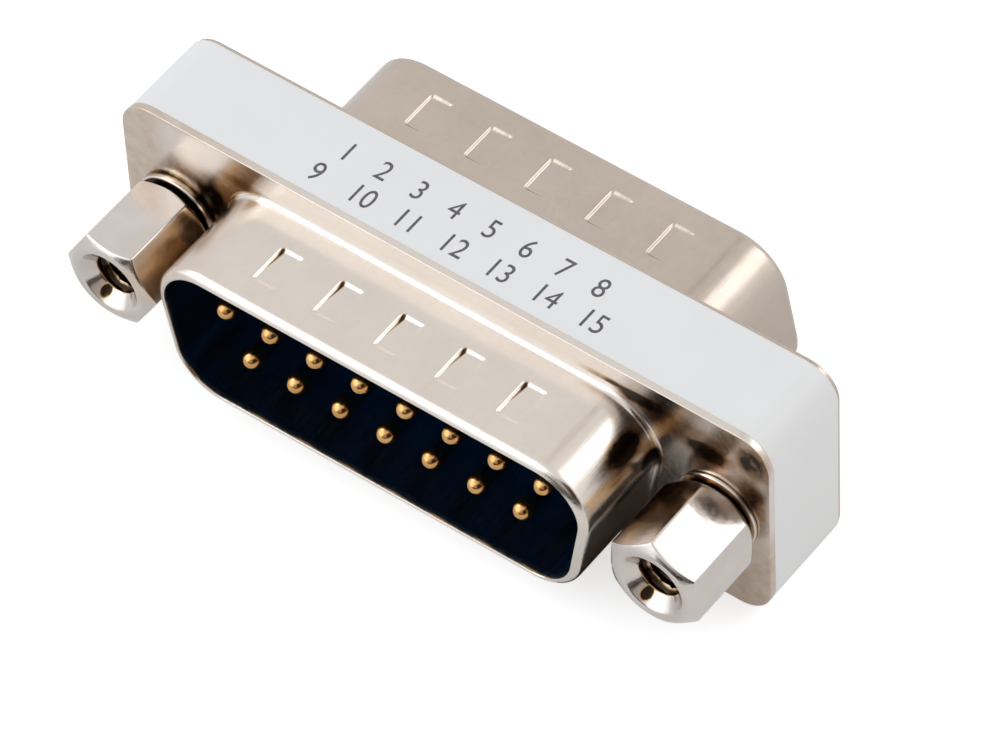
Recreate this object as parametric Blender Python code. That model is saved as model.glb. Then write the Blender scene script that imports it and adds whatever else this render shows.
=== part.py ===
"""Low-profile 15-way D-subminiature gender changer, pins at both ends.

Two stamped shells sit back to back on a plastic core, with a wrap label round the
middle. Z is up, X runs along the length and the front mouth faces -Y. The part stands
on its long edge with the origin at the middle of its underside. Sizes are in millimetres.
"""
import math

import bmesh
import bpy
from mathutils import Matrix, Vector

MM = 0.001

# Contact field, which sets the size of the shrouds and flanges
CONTACT_PITCH = 2.74
ROW_SPACING = 2.84
WIDE_ROW_COUNT = 8
NARROW_ROW_COUNT = 7

# Shroud of each shell, measured outside; its wide long side is the upper one at the front
SHROUD_END_MARGIN = 3.96
SHROUD_SIDE_MARGIN = 3.08
SHROUD_WIDTH = (WIDE_ROW_COUNT - 1) * CONTACT_PITCH + 2 * SHROUD_END_MARGIN
SHROUD_HEIGHT = ROW_SPACING + 2 * SHROUD_SIDE_MARGIN
SHROUD_CORNER = 2.95
SHROUD_SLANT = 10.0
SHROUD_REACH = 6.0
BASE_FILLET = 0.38
LIP_RADIUS = 0.68
LIP_TURN_IN = 0.12
LIP_EDGE = 0.05
LIP_LAND = 0.2

# Flanges and body
FLANGE_END = 6.02
FLANGE_SIDE = 1.775
FLANGE_LENGTH = SHROUD_WIDTH + 2 * FLANGE_END
FLANGE_HEIGHT = SHROUD_HEIGHT + 2 * FLANGE_SIDE
FLANGE_CORNER = 1.9
FLANGE_EDGE_RADIUS = 0.25
SHEET = 0.40
BODY_DEPTH = 5.70

# Grip dimples pressed into both long sides of each shroud
DIMPLE_COUNT = 5
DIMPLE_PITCH = 3.66
DIMPLE_WIDTH = 1.6
DIMPLE_WALL = 0.16
DIMPLE_DEPTH = 0.2
DIMPLE_START = 1.5
DIMPLE_LENGTH = 2.3

# Contacts
PIN_DIAMETER = 1.02
PIN_SETBACK = 0.75
PIN_NOSE = 0.75
LINK_DIAMETER = 0.7
LINK_STRAIGHT = 0.25
PIN_BORE_CLEARANCE = 0.05

# Insulators and spacer
FLOOR_RAISE = 0.15
BOARD_THICKNESS = 1.2
WINDOW_MARGIN = 1.9
WINDOW_CORNER = 1.0

# Wrap label
LABEL_THICKNESS = 0.10
LABEL_LAP_LIFT = 0.5
LABEL_LAP_TOP = 1.8
LABEL_LAP_BOTTOM = -1.0
LABEL_LAP_RAMP = 0.3

# Standoffs, washers and bushes; the left and right stacks stand at their own distance from the shroud
LEFT_FASTENER_GAP = 2.70
RIGHT_FASTENER_GAP = 3.10
HEX_FLATS = 4.86
HEX_LENGTH = 5.44
HEX_FRONT_CHAMFER = 0.25
HEX_FRONT_ANGLE = 31.0
HEX_REAR_CHAMFER = 0.62
HEX_REAR_ANGLE = 38.0
LEFT_HEX_TURN = -1.0
RIGHT_HEX_TURN = 33.8
SOCKET_DIAMETER = 2.3
SOCKET_DEPTH = 4.2
SOCKET_FLARE = 3.7
STUD_DIAMETER = 2.74
STUD_LENGTH = 5.0
WASHER_DIAMETER = 4.9
WASHER_THICKNESS = 0.4
WASHER_EDGE = 0.1
SCREW_HOLE = 3.2
BUSH_DIAMETER = 4.3
BUSH_HEAD = 0.35
BUSH_TAPER = 0.175

# How far apart pieces that touch on the real part are drawn
CLEARANCE = 0.03

# How far a cutter runs past the face it opens
CUT_BEYOND = 0.4

# How finely curves are drawn, and the angle above which an edge is shaded sharp
CORNER_STEPS = 6
FILLET_STEPS = 4
NOSE_STEPS = 3
ROUND_SIDES = 32
PIN_SIDES = 10
EDGE_STEPS = 2
SHARP_ANGLE = 35.0


def clear_scene():
    for item in list(bpy.data.objects):
        bpy.data.objects.remove(item, do_unlink=True)


def make_material(name, colour, roughness, metallic):
    material = bpy.data.materials.new(name)
    material.use_nodes = True
    shader = material.node_tree.nodes["Principled BSDF"]
    shader.inputs["Base Color"].default_value = (*colour, 1.0)
    shader.inputs["Roughness"].default_value = roughness
    shader.inputs["Metallic"].default_value = metallic
    return material


def place(name, mesh, parent, location=(0.0, 0.0, 0.0), rotation=(0.0, 0.0, 0.0)):
    """Adds one named piece; location is in millimetres and rotation in degrees."""
    item = bpy.data.objects.new(name, mesh)
    bpy.context.scene.collection.objects.link(item)
    item.parent = parent
    item.location = [MM * value for value in location]
    item.rotation_euler = [math.radians(value) for value in rotation]
    return item


def guide(name, mesh, parent, location=(0.0, 0.0, 0.0), rotation=(0.0, 0.0, 0.0)):
    """Adds a cutter, which isn't a piece of the part."""
    item = place(name, mesh, parent, location, rotation)
    item.hide_render = True
    item.display_type = "WIRE"
    return item


def cut(item, cutter, operation="DIFFERENCE"):
    modifier = item.modifiers.new(cutter.name, "BOOLEAN")
    modifier.operation = operation
    modifier.object = cutter
    modifier.solver = "EXACT"


def finish_mesh(bm, name, material):
    """Turns a bmesh in millimetres into a mesh in metres with faces pointing out."""
    bmesh.ops.recalc_face_normals(bm, faces=bm.faces)
    bmesh.ops.scale(bm, vec=(MM, MM, MM), verts=bm.verts)
    mesh = bpy.data.meshes.new(name)
    bm.to_mesh(mesh)
    bm.free()
    mesh.materials.append(material)
    mesh.shade_smooth()
    mesh.set_sharp_from_angle(angle=math.radians(SHARP_ANGLE))
    return mesh


def bridge(bm, rings, closed=False):
    """Joins rings of equal count with quads, and returns their vertices."""
    count = len(rings[0])
    verts = [[bm.verts.new(point) for point in ring] for ring in rings]
    pairs = list(zip(verts, verts[1:]))
    if closed:
        pairs.append((verts[-1], verts[0]))
    for low, high in pairs:
        for k in range(count):
            n = (k + 1) % count
            bm.faces.new((low[k], low[n], high[n], high[k]))
    return verts


def arc(centre, radius, start, end, steps):
    """Points on a circle in X and Z, with angles in degrees."""
    points = []
    for k in range(steps + 1):
        angle = math.radians(start + (end - start) * k / steps)
        points.append((centre[0] + radius * math.cos(angle), centre[1] + radius * math.sin(angle)))
    return points


def at_depth(outline, y):
    return [(x, y, z) for x, z in outline]


def dimple_edges():
    """X of the four lines that bound each dimple, from left to right."""
    edges = []
    for k in range(DIMPLE_COUNT):
        middle = (k - (DIMPLE_COUNT - 1) / 2) * DIMPLE_PITCH
        half = DIMPLE_WIDTH / 2
        inner = half - DIMPLE_WALL
        edges += [middle - half, middle - inner, middle + inner, middle + half]
    return edges


def d_outline(offset, with_dimples=True):
    """Clockwise D outline, wide side up, at an offset from the shroud's outer surface."""
    slant = math.radians(SHROUD_SLANT)
    radius = SHROUD_CORNER + offset
    top = SHROUD_HEIGHT / 2
    reach_top = SHROUD_CORNER / math.tan((math.pi / 2 - slant) / 2)
    reach_bottom = SHROUD_CORNER / math.tan((math.pi / 2 + slant) / 2)
    half_top = SHROUD_WIDTH / 2 - reach_top
    half_bottom = SHROUD_WIDTH / 2 - SHROUD_HEIGHT * math.tan(slant) - reach_bottom
    upper = top - SHROUD_CORNER
    marks = dimple_edges() if with_dimples else []
    outline = [(x, top + offset) for x in marks]
    outline += arc((half_top, upper), radius, 90, -SHROUD_SLANT, CORNER_STEPS)
    outline += arc((half_bottom, -upper), radius, -SHROUD_SLANT, -90, CORNER_STEPS)
    outline += [(-x, -top - offset) for x in marks]
    outline += arc((-half_bottom, -upper), radius, 270, 180 + SHROUD_SLANT, CORNER_STEPS)
    outline += arc((-half_top, upper), radius, 180 + SHROUD_SLANT, 90, CORNER_STEPS)
    return outline


def box_outline(length, height, radius, with_dimples=False, left_marks=()):
    """Clockwise rounded rectangle, with the same corner order as the D outline."""
    x = length / 2 - radius
    z = height / 2 - radius
    marks = dimple_edges() if with_dimples else []
    outline = [(mark, height / 2) for mark in marks]
    outline += arc((x, z), radius, 90, 0, CORNER_STEPS)
    outline += arc((x, -z), radius, 0, -90, CORNER_STEPS)
    outline += [(-mark, -height / 2) for mark in marks]
    outline += arc((-x, -z), radius, 270, 180, CORNER_STEPS)
    outline += [(-length / 2 - lift, mark) for mark, lift in left_marks]
    outline += arc((-x, z), radius, 180, 90, CORNER_STEPS)
    return outline


def flange_outline(inset):
    """The flange's edge, with the dimples' marks so that its rings match the shroud's."""
    return box_outline(
        FLANGE_LENGTH - 2 * inset,
        FLANGE_HEIGHT - 2 * inset,
        FLANGE_CORNER - inset,
        with_dimples=True,
    )


def press_dimples(ring, depth):
    """Moves the marked points of a D ring inwards by the dimple depth."""
    per_side = 4 * DIMPLE_COUNT
    second = per_side + 2 * (CORNER_STEPS + 1)
    pressed = list(ring)
    for start, direction in ((0, -1.0), (second, 1.0)):
        for k in range(per_side):
            if k % 4 in (1, 2):
                x, y, z = pressed[start + k]
                pressed[start + k] = (x, y, z + direction * depth)
    return pressed


def shell_mesh(material):
    """One stamped shell: flange, base fillet, D shroud with dimples, and rolled lip."""
    face = -BODY_DEPTH / 2
    mouth = face - SHROUD_REACH
    dimple_front = mouth + DIMPLE_START
    dimple_back = dimple_front + DIMPLE_LENGTH
    dimple_deep = dimple_back - DIMPLE_WALL

    def dimple_rings(offset):
        return [
            at_depth(d_outline(offset), dimple_front),
            press_dimples(at_depth(d_outline(offset), dimple_deep), DIMPLE_DEPTH),
            at_depth(d_outline(offset), dimple_back),
        ]

    rings = []
    opening = -SHEET - LIP_TURN_IN
    rings.append(at_depth(d_outline(opening), mouth + LIP_LAND))
    rings.append(at_depth(d_outline(opening), mouth + LIP_EDGE))
    for k in range(FILLET_STEPS + 1):
        turn = math.radians(90 - 90 * k / FILLET_STEPS)
        offset = -LIP_RADIUS * (1 - math.cos(turn))
        if k == 0:
            offset = opening + LIP_EDGE
        rings.append(at_depth(d_outline(offset), mouth + LIP_RADIUS * (1 - math.sin(turn))))
    rings += dimple_rings(0.0)
    for k in range(FILLET_STEPS + 1):
        turn = math.radians(90 * k / FILLET_STEPS)
        offset = BASE_FILLET * (1 - math.cos(turn))
        rings.append(at_depth(d_outline(offset), face - BASE_FILLET * (1 - math.sin(turn))))
    for k in range(EDGE_STEPS + 1):
        turn = math.radians(90 * k / EDGE_STEPS)
        inset = FLANGE_EDGE_RADIUS * (1 - math.sin(turn))
        rings.append(at_depth(flange_outline(inset), face + FLANGE_EDGE_RADIUS * (1 - math.cos(turn))))
    rings.append(at_depth(flange_outline(0.0), face + SHEET))
    inner_fillet = BASE_FILLET + SHEET
    for k in range(FILLET_STEPS + 1):
        turn = math.radians(90 - 90 * k / FILLET_STEPS)
        offset = -SHEET + inner_fillet * (1 - math.cos(turn))
        rings.append(at_depth(d_outline(offset), face + SHEET - inner_fillet * (1 - math.sin(turn))))
    rings += dimple_rings(-SHEET)[::-1]
    rings.append(at_depth(d_outline(-SHEET), mouth + LIP_RADIUS))
    bm = bmesh.new()
    bridge(bm, rings, closed=True)
    return finish_mesh(bm, "shell", material)


def turned_mesh(name, profile, sides, material, turn=0.0):
    """Turns a profile of (radius, y) points about Y; its two ends lie on the axis."""
    bm = bmesh.new()
    rings = []
    for radius, y in profile[1:-1]:
        ring = []
        for k in range(sides):
            angle = math.radians(turn) + 2 * math.pi * k / sides
            ring.append((radius * math.cos(angle), y, radius * math.sin(angle)))
        rings.append(ring)
    verts = bridge(bm, rings)
    for end, ring in ((profile[0], verts[0]), (profile[-1], verts[-1])):
        tip = bm.verts.new((0.0, end[1], 0.0))
        for k in range(sides):
            bm.faces.new((tip, ring[k], ring[(k + 1) % sides]))
    return finish_mesh(bm, name, material)


def tube_mesh(name, profile, sides, material):
    """Turns a closed profile of (radius, y) points about Y, with an open bore."""
    bm = bmesh.new()
    rings = []
    for radius, y in profile:
        ring = []
        for k in range(sides):
            angle = 2 * math.pi * k / sides
            ring.append((radius * math.cos(angle), y, radius * math.sin(angle)))
        rings.append(ring)
    bridge(bm, rings, closed=True)
    return finish_mesh(bm, name, material)


def rod_mesh(name, diameter, y_low, y_high, sides, material):
    radius = diameter / 2
    return turned_mesh(name, [(0, y_low), (radius, y_low), (radius, y_high), (0, y_high)], sides, material)


def contact_places():
    """X and row sign of each front pin: the wide upper row first, then the lower row."""
    places = []
    for count, side in ((WIDE_ROW_COUNT, 1), (NARROW_ROW_COUNT, -1)):
        for k in range(count):
            places.append(((k - (count - 1) / 2) * CONTACT_PITCH, side))
    return places


def nose_rings(radius):
    """Radius and distance behind the tip, for a rounded pin nose."""
    rings = []
    for k in range(1, NOSE_STEPS + 1):
        turn = math.radians(90 * k / NOSE_STEPS)
        rings.append((radius * math.sin(turn), PIN_NOSE * (1 - math.cos(turn))))
    return rings


def contact_mesh(material):
    """A double-ended contact: high at the front, low at the back, with a slanting link."""
    tip = BODY_DEPTH / 2 + SHROUD_REACH - PIN_SETBACK
    shank = BODY_DEPTH / 2 - SHEET - BOARD_THICKNESS + LINK_STRAIGHT
    height = ROW_SPACING / 2
    radius = PIN_DIAMETER / 2
    link = LINK_DIAMETER / 2
    bend = shank - LINK_STRAIGHT
    slope = math.atan2(2 * height, 2 * bend)
    half = []
    for ring_radius, back in nose_rings(radius):
        half.append((ring_radius, -tip + back, height, 0.0))
    half.append((radius, -shank, height, 0.0))
    half.append((link, -shank, height, 0.0))
    half.append((link, -bend, height, slope / 2))
    stations = half + [(r, -y, -z, lean) for r, y, z, lean in half[::-1]]
    bm = bmesh.new()
    rings = []
    for ring_radius, y, z, lean in stations:
        ring = []
        for k in range(PIN_SIDES):
            angle = 2 * math.pi * k / PIN_SIDES
            across = ring_radius * math.cos(angle)
            up = ring_radius * math.sin(angle)
            ring.append((across, y + up * math.tan(lean), z + up))
        rings.append(ring)
    verts = bridge(bm, rings)
    for y, z, ring in ((-tip, height, verts[0]), (tip, -height, verts[-1])):
        end = bm.verts.new((0.0, y, z))
        for k in range(PIN_SIDES):
            bm.faces.new((end, ring[k], ring[(k + 1) % PIN_SIDES]))
    return finish_mesh(bm, "contact", material)


def body_outline():
    inset = LABEL_THICKNESS + CLEARANCE
    return box_outline(
        FLANGE_LENGTH - 2 * inset,
        FLANGE_HEIGHT - 2 * inset,
        FLANGE_CORNER - inset,
    )


def insulator_mesh(material):
    """A board that fills one half of the body, with a D boss that closes the shroud."""
    face = -BODY_DEPTH / 2
    back = face + SHEET + BOARD_THICKNESS
    front = face + SHEET + CLEARANCE
    boss = d_outline(-SHEET - CLEARANCE, with_dimples=False)
    bm = bmesh.new()
    rings = [
        at_depth(body_outline(), back),
        at_depth(body_outline(), front),
        at_depth(boss, front),
        at_depth(boss, face - FLOOR_RAISE),
    ]
    verts = bridge(bm, rings)
    bm.faces.new(verts[0])
    bm.faces.new(verts[-1])
    return finish_mesh(bm, "insulator", material)


def add_pin_cutters(board, parent, rotation):
    """Bores one hole through an insulator for each contact of its connector."""
    bore = PIN_DIAMETER + 2 * PIN_BORE_CLEARANCE
    reach = BODY_DEPTH
    mesh = rod_mesh("pin_bore", bore, -reach, 0.0, PIN_SIDES, board.data.materials[0])
    for number, (x, side) in enumerate(contact_places(), start=1):
        cutter = guide(f"{board.name}_bore_{number:02d}", mesh, parent)
        centre = Matrix.Rotation(math.radians(rotation), 4, "X") @ Vector((x, 0.0, side * ROW_SPACING / 2))
        cutter.location = centre * MM
        cutter.rotation_euler = (math.radians(rotation), 0.0, 0.0)
        cut(board, cutter)


def fastener_places():
    half = SHROUD_WIDTH / 2
    return [("left", -half - LEFT_FASTENER_GAP), ("right", half + RIGHT_FASTENER_GAP)]


def add_screw_cutters(item, diameter, parent, material):
    """Bores the two fastener holes right through a piece."""
    reach = BODY_DEPTH
    mesh = rod_mesh("screw_bore", diameter, -reach, reach, ROUND_SIDES, material)
    for side, x in fastener_places():
        cut(item, guide(f"{item.name}_{side}_hole", mesh, parent, (x, 0.0, 0.0)))


def label_mesh(material):
    """The wrap label: a thin sleeve whose lapped end stands proud on the left."""
    half = BODY_DEPTH / 2 - SHEET - CLEARANCE
    marks = [
        (LABEL_LAP_BOTTOM, 0.0),
        (LABEL_LAP_BOTTOM + LABEL_LAP_RAMP, LABEL_LAP_LIFT),
        (LABEL_LAP_TOP - LABEL_LAP_RAMP, LABEL_LAP_LIFT),
        (LABEL_LAP_TOP, 0.0),
    ]
    flat_marks = [(z, 0.0) for z, _ in marks]
    outer = box_outline(FLANGE_LENGTH, FLANGE_HEIGHT, FLANGE_CORNER, left_marks=marks)
    inner = box_outline(
        FLANGE_LENGTH - 2 * LABEL_THICKNESS,
        FLANGE_HEIGHT - 2 * LABEL_THICKNESS,
        FLANGE_CORNER - LABEL_THICKNESS,
        left_marks=flat_marks,
    )
    rings = [at_depth(inner, -half), at_depth(outer, -half), at_depth(outer, half), at_depth(inner, half)]
    bm = bmesh.new()
    bridge(bm, rings, closed=True)
    return finish_mesh(bm, "label", material)


def spacer_mesh(material):
    """The frame between the two insulators, open in the middle for the contact links."""
    half = BODY_DEPTH / 2 - SHEET - BOARD_THICKNESS - CLEARANCE
    length = (WIDE_ROW_COUNT - 1) * CONTACT_PITCH + 2 * WINDOW_MARGIN
    height = ROW_SPACING + 2 * WINDOW_MARGIN
    inner = box_outline(length, height, WINDOW_CORNER)
    outer = body_outline()
    rings = [at_depth(inner, -half), at_depth(outer, -half), at_depth(outer, half), at_depth(inner, half)]
    bm = bmesh.new()
    bridge(bm, rings, closed=True)
    return finish_mesh(bm, "spacer", material)


def standoff_base():
    """Y of the plane that the standoffs seat on: the front of the washers."""
    return -BODY_DEPTH / 2 - WASHER_THICKNESS - 2 * CLEARANCE


def add_standoff(name, x, turn, parent, material):
    """A hexagonal jack socket with chamfered ends, a flared bore and a stud behind."""
    base = standoff_base()
    end = base - HEX_LENGTH
    corner = HEX_FLATS / math.sqrt(3)
    wide = corner + CLEARANCE
    front_rim = HEX_FLATS / 2 - HEX_FRONT_CHAMFER
    front_run = (wide - front_rim) * math.tan(math.radians(HEX_FRONT_ANGLE))
    rear_rim = HEX_FLATS / 2 - HEX_REAR_CHAMFER
    rear_run = (wide - rear_rim) * math.tan(math.radians(HEX_REAR_ANGLE))
    low = end - CUT_BEYOND
    high = base + CUT_BEYOND
    hexagon = [(0, low), (corner, low), (corner, high), (0, high)]
    item = place(name, turned_mesh("hexagon", hexagon, 6, material, turn), parent, (x, 0.0, 0.0))
    barrel = [
        (0, end),
        (front_rim, end),
        (wide, end + front_run),
        (wide, base - rear_run),
        (rear_rim, base),
        (0, base),
    ]
    chamfers = turned_mesh("barrel", barrel, ROUND_SIDES, material)
    cut(item, guide(f"{name}_barrel", chamfers, parent, (x, 0.0, 0.0)), "INTERSECT")
    socket = SOCKET_DIAMETER / 2
    flare = SOCKET_FLARE / 2
    bore = [
        (0, low),
        (flare + CUT_BEYOND, low),
        (socket, end + flare - socket),
        (socket, end + SOCKET_DEPTH),
        (0, end + SOCKET_DEPTH + socket / 2),
    ]
    cut(item, guide(f"{name}_socket", turned_mesh("socket", bore, ROUND_SIDES, material), parent, (x, 0.0, 0.0)))
    root = base - (HEX_LENGTH - SOCKET_DEPTH) / 4
    stud = rod_mesh("stud", STUD_DIAMETER, root, base + STUD_LENGTH, ROUND_SIDES, material)
    cut(item, guide(f"{name}_stud", stud, parent, (x, 0.0, 0.0)), "UNION")
    return item


def washer_mesh(material):
    near = -BODY_DEPTH / 2 - CLEARANCE
    far = near - WASHER_THICKNESS
    inner = STUD_DIAMETER / 2 + CLEARANCE
    outer = WASHER_DIAMETER / 2
    soft = WASHER_EDGE
    profile = [(inner, near), (inner, far), (outer - soft, far), (outer, far + soft), (outer, near)]
    return tube_mesh("washer", profile, ROUND_SIDES, material)


def bush_mesh(material):
    """A threaded bush that clamps the stack and is swaged over behind the rear flange."""
    face = BODY_DEPTH / 2
    inner = STUD_DIAMETER / 2 + 2 * CLEARANCE
    neck = SCREW_HOLE / 2 - CLEARANCE
    outer = BUSH_DIAMETER / 2
    near = -face + SHEET + CLEARANCE
    shoulder = face - SHEET - CLEARANCE
    head_in = face + CLEARANCE
    head_out = face + BUSH_HEAD
    rim = outer - BUSH_TAPER
    profile = [
        (inner, near),
        (outer, near),
        (outer, shoulder),
        (neck, shoulder),
        (neck, head_in),
        (outer, head_in),
        (rim, head_out),
        (inner, head_out),
    ]
    return tube_mesh("bush", profile, ROUND_SIDES, material)


def build():
    clear_scene()
    nickel = make_material("nickel_plate", (0.62, 0.58, 0.54), 0.28, 1.0)
    bright_nickel = make_material("bright_nickel", (0.66, 0.63, 0.60), 0.2, 1.0)
    navy = make_material("navy_insulator", (0.01, 0.015, 0.035), 0.3, 0.0)
    spacer_black = make_material("spacer_black", (0.02, 0.02, 0.022), 0.5, 0.0)
    gold = make_material("gold_plate", (0.83, 0.62, 0.32), 0.2, 1.0)
    white = make_material("white_label", (0.78, 0.80, 0.82), 0.4, 0.0)

    middle = bpy.data.objects.new("mid_height", None)
    bpy.context.scene.collection.objects.link(middle)
    middle.location = (0.0, 0.0, MM * FLANGE_HEIGHT / 2)

    shell = shell_mesh(nickel)
    board = insulator_mesh(navy)
    bush_hole = BUSH_DIAMETER + 2 * CLEARANCE
    for end, turn in (("front", 0.0), ("rear", 180.0)):
        piece = place(f"{end}_shell", shell, middle, rotation=(turn, 0.0, 0.0))
        add_screw_cutters(piece, SCREW_HOLE, middle, nickel)
        piece = place(f"{end}_insulator", board, middle, rotation=(turn, 0.0, 0.0))
        add_screw_cutters(piece, bush_hole, middle, navy)
        add_pin_cutters(piece, middle, turn)

    spacer = place("spacer_frame", spacer_mesh(spacer_black), middle)
    add_screw_cutters(spacer, bush_hole, middle, spacer_black)
    place("wrap_label", label_mesh(white), middle)

    contact = contact_mesh(gold)
    for number, (x, side) in enumerate(contact_places(), start=1):
        turn = 0.0 if side > 0 else 180.0
        place(f"contact_{number:02d}", contact, middle, (x, 0.0, 0.0), (0.0, turn, 0.0))

    washer = washer_mesh(bright_nickel)
    bush = bush_mesh(bright_nickel)
    turns = {"left": LEFT_HEX_TURN, "right": RIGHT_HEX_TURN}
    for side, x in fastener_places():
        add_standoff(f"{side}_standoff", x, turns[side], middle, bright_nickel)
        place(f"{side}_washer", washer, middle, (x, 0.0, 0.0))
        place(f"{side}_bush", bush, middle, (x, 0.0, 0.0))


build()
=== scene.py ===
"""Looks of the low-profile D-sub gender changer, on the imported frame.

Sizes are in millimetres until a mesh is finished, when they become metres. X runs along the
length, the front mouth faces -Y and Z is up. Piece meshes are drawn about the body's middle,
which stands half a flange height above the underside.
"""
import math

import bmesh
import bpy
from mathutils import Matrix, Vector


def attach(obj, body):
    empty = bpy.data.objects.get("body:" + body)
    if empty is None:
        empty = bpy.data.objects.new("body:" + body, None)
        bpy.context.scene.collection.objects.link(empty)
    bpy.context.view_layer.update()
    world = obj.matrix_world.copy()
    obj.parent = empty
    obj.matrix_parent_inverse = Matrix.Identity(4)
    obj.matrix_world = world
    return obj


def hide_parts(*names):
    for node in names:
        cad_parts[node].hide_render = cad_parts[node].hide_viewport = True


MM = 0.001

# Sizes shared with the CAD model
CONTACT_PITCH = 2.74
ROW_SPACING = 2.84
WIDE_ROW_COUNT = 8
NARROW_ROW_COUNT = 7
SHROUD_WIDTH = 27.10
SHROUD_HEIGHT = 9.0
SHROUD_CORNER = 2.95
SHROUD_SLANT = 10.0
SHROUD_REACH = 6.0
BASE_FILLET = 0.38
LIP_TURN_IN = 0.12
FLANGE_LENGTH = 39.14
FLANGE_HEIGHT = 12.55
FLANGE_CORNER = 1.9
SHEET = 0.40
BODY_DEPTH = 5.70
PIN_DIAMETER = 1.02
PIN_SETBACK = 0.75
PIN_BORE_CLEARANCE = 0.05
LINK_DIAMETER = 0.7
LINK_STRAIGHT = 0.25
FLOOR_RAISE = 0.15
BOARD_THICKNESS = 1.2
LABEL_THICKNESS = 0.10
LABEL_LAP_TOP = 1.8
LABEL_LAP_BOTTOM = -1.0
LEFT_FASTENER_GAP = 2.70
RIGHT_FASTENER_GAP = 3.10
LEFT_FASTENER = -SHROUD_WIDTH / 2 - LEFT_FASTENER_GAP
RIGHT_FASTENER = SHROUD_WIDTH / 2 + RIGHT_FASTENER_GAP
LEFT_HEX_TURN = -1.0
RIGHT_HEX_TURN = 33.8
HEX_FLATS = 4.86
HEX_LENGTH = 5.44
HEX_FRONT_CHAMFER = 0.25
HEX_FRONT_ANGLE = 31.0
HEX_REAR_CHAMFER = 0.62
HEX_REAR_ANGLE = 38.0
SOCKET_DIAMETER = 2.3
SOCKET_FLARE = 3.7
SOCKET_DEPTH = 4.2
STUD_DIAMETER = 2.74
STUD_LENGTH = 5.0
WASHER_DIAMETER = 4.9
WASHER_THICKNESS = 0.4
SCREW_HOLE = 3.2
BUSH_DIAMETER = 4.3
BUSH_HEAD = 0.35
CLEARANCE = 0.03

# Detail of the looks alone, and sizes that differ a little from the CAD model's. The lift is how
# far the front flange leans forward on average, and it sets in a short way in front of the flange.
LIP_DROP = 0.43
LIP_LENGTH = 0.56
FLANGE_LIFT = 0.11
LIFT_START = 1.4
NOSE_RADIUS = 0.545
NOSE_LENGTH = 0.60
# Distance along Y from the middle where the painted shade on the pins' shanks gives way to gold
GOLD_FROM = 6.95
LABEL_RECESS = 0.012
LABEL_BACK_INSET = 0.24
LABEL_LAP_LIFT = 0.35
HAIR_GAP = 0.004
HEX_EDGE = 0.13
STUD_CHAMFER = 0.2
DRILL_POINT = 0.3
FLARE_DEPTH = 0.70
THREAD_PITCH = 0.635
THREAD_DEPTH = 0.26
WASHER_SHIFT = 0.11
WASHER_TRIM = 0.13
WASHER_PLAY = 0.14
BUSH_TAPER = 0.15

# Grip dimples: each is a wedge, deepest at its left edge and its flange end
DIMPLE_COUNT = 5
DIMPLE_PITCH = 3.66
DIMPLE_WIDTH = 1.60
DIMPLE_WALL = 0.19
DIMPLE_DEPTH = 0.13
DIMPLE_FRONT = 7.36
DIMPLE_BACK = 4.78

# Camera, from the fit to the photograph's outlines, about the body's middle
IMAGE_WIDTH = 1000
SENSOR_WIDTH = 36.0
FOCAL_PIXELS = 7574.8
EYE = (151.35, -184.11, 282.13)
CAMERA_RIGHT = (0.8017, 0.5965, -0.0372)
CAMERA_UP = (-0.4403, 0.6315, 0.6382)
CAMERA_BACK = (0.4042, -0.4953, 0.7690)

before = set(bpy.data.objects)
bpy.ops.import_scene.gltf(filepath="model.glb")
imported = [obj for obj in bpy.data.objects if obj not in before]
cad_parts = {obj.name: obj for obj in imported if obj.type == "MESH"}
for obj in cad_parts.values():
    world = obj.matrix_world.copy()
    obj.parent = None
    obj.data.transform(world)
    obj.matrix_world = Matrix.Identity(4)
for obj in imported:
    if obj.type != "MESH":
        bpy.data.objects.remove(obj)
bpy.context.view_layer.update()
MIDDLE = Vector((0.0, 0.0, MM * FLANGE_HEIGHT / 2))


# Mesh helpers

def finish(bm, name, material, sharp_angle=40.0):
    """Turns a bmesh in millimetres into a piece that stands in the row frame."""
    bmesh.ops.recalc_face_normals(bm, faces=bm.faces)
    bmesh.ops.scale(bm, vec=(MM, MM, MM), verts=bm.verts)
    bmesh.ops.translate(bm, vec=MIDDLE, verts=bm.verts)
    mesh = bpy.data.meshes.new(name)
    bm.to_mesh(mesh)
    bm.free()
    mesh.materials.append(material)
    mesh.shade_smooth()
    mesh.set_sharp_from_angle(angle=math.radians(sharp_angle))
    item = bpy.data.objects.new(name, mesh)
    bpy.context.scene.collection.objects.link(item)
    return item


def stand_for(item, slot, *nodes):
    """Makes a finished piece ride on the part in place of some CAD nodes."""
    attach(item, "root")
    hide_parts(*nodes)


def bridge(bm, rings, closed=False):
    """Joins rings of equal count with quads, and returns their vertices."""
    count = len(rings[0])
    verts = [[bm.verts.new(point) for point in ring] for ring in rings]
    pairs = list(zip(verts, verts[1:]))
    if closed:
        pairs.append((verts[-1], verts[0]))
    for low, high in pairs:
        for k in range(count):
            n = (k + 1) % count
            bm.faces.new((low[k], low[n], high[n], high[k]))
    return verts


def cap(bm, ring, centre):
    """Closes a ring with a fan round a middle point."""
    tip = bm.verts.new(centre)
    for k in range(len(ring)):
        bm.faces.new((tip, ring[k], ring[(k + 1) % len(ring)]))


def turn_half(bm):
    """Turns a front mesh half round about X, so that it becomes the rear one."""
    bmesh.ops.rotate(bm, cent=(0, 0, 0), matrix=Matrix.Rotation(math.pi, 3, "X"), verts=bm.verts)


def subtract(item, cutter):
    """Cuts one closed mesh out of another for good, and removes the cutter."""
    modifier = item.modifiers.new("cut", "BOOLEAN")
    modifier.operation = "DIFFERENCE"
    modifier.solver = "EXACT"
    modifier.object = cutter
    bpy.context.view_layer.update()
    graph = bpy.context.evaluated_depsgraph_get()
    mesh = bpy.data.meshes.new_from_object(item.evaluated_get(graph))
    item.modifiers.clear()
    old = item.data
    item.data = mesh
    bpy.data.meshes.remove(old)
    bpy.data.objects.remove(cutter, do_unlink=True)


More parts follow.
